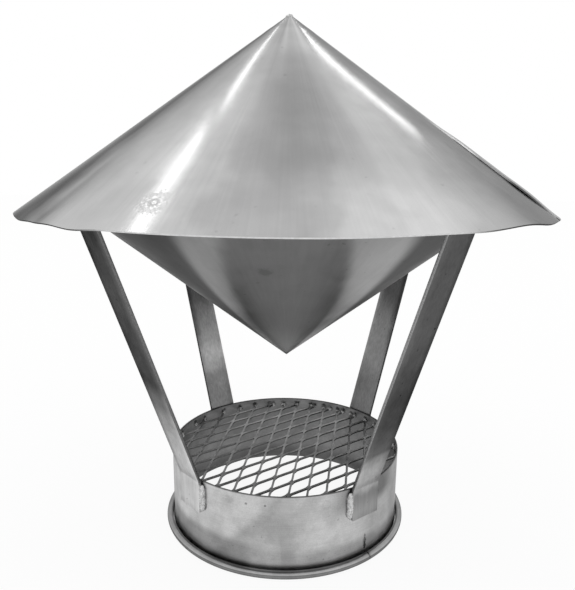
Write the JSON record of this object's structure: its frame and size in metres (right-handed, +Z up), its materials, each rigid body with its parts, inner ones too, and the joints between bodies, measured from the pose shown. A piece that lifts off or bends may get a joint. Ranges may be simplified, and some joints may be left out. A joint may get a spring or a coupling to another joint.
{
  "type": "chimney cap",
  "caption": "Conical stainless rain hood with an inverted cone under it, on bent flat legs over a round collar with a rolled bead and a mesh screen; keeps rain and birds out of a flue.",
  "frame": {"origin": "on the collar's axis, in the plane of the underside of its rolled bead", "axes": "+Z up along the collar's axis towards the tip of the hood; the picture looks along +Y, with +X to the right"},
  "size_m": [0.3133, 0.312, 0.3168],
  "materials": {
    "stainless_sheet": "cold rolled stainless sheet, satin, with faint rolling marks",
    "stainless_bar": "flat stainless bar, dull mill finish",
    "weld_metal": "unground weld bead with burnt edges",
    "expanded_mesh": "expanded stainless mesh, sheared strands"
  },
  "bodies": {
    "root": {"collar": "stainless_sheet", "hood": "stainless_sheet", "hood_tip_weld": "weld_metal", "deflector": "stainless_sheet", "bird_mesh": "expanded_mesh", "mesh_tacks": "weld_metal", "leg_front_left": "stainless_bar", "leg_front_right": "stainless_bar", "leg_back_left": "stainless_bar", "leg_back_right": "stainless_bar", "leg_welds_front_left": "weld_metal", "leg_welds_front_right": "weld_metal", "leg_welds_back_left": "weld_metal", "leg_welds_back_right": "weld_metal"}
  },
  "joints": []
}
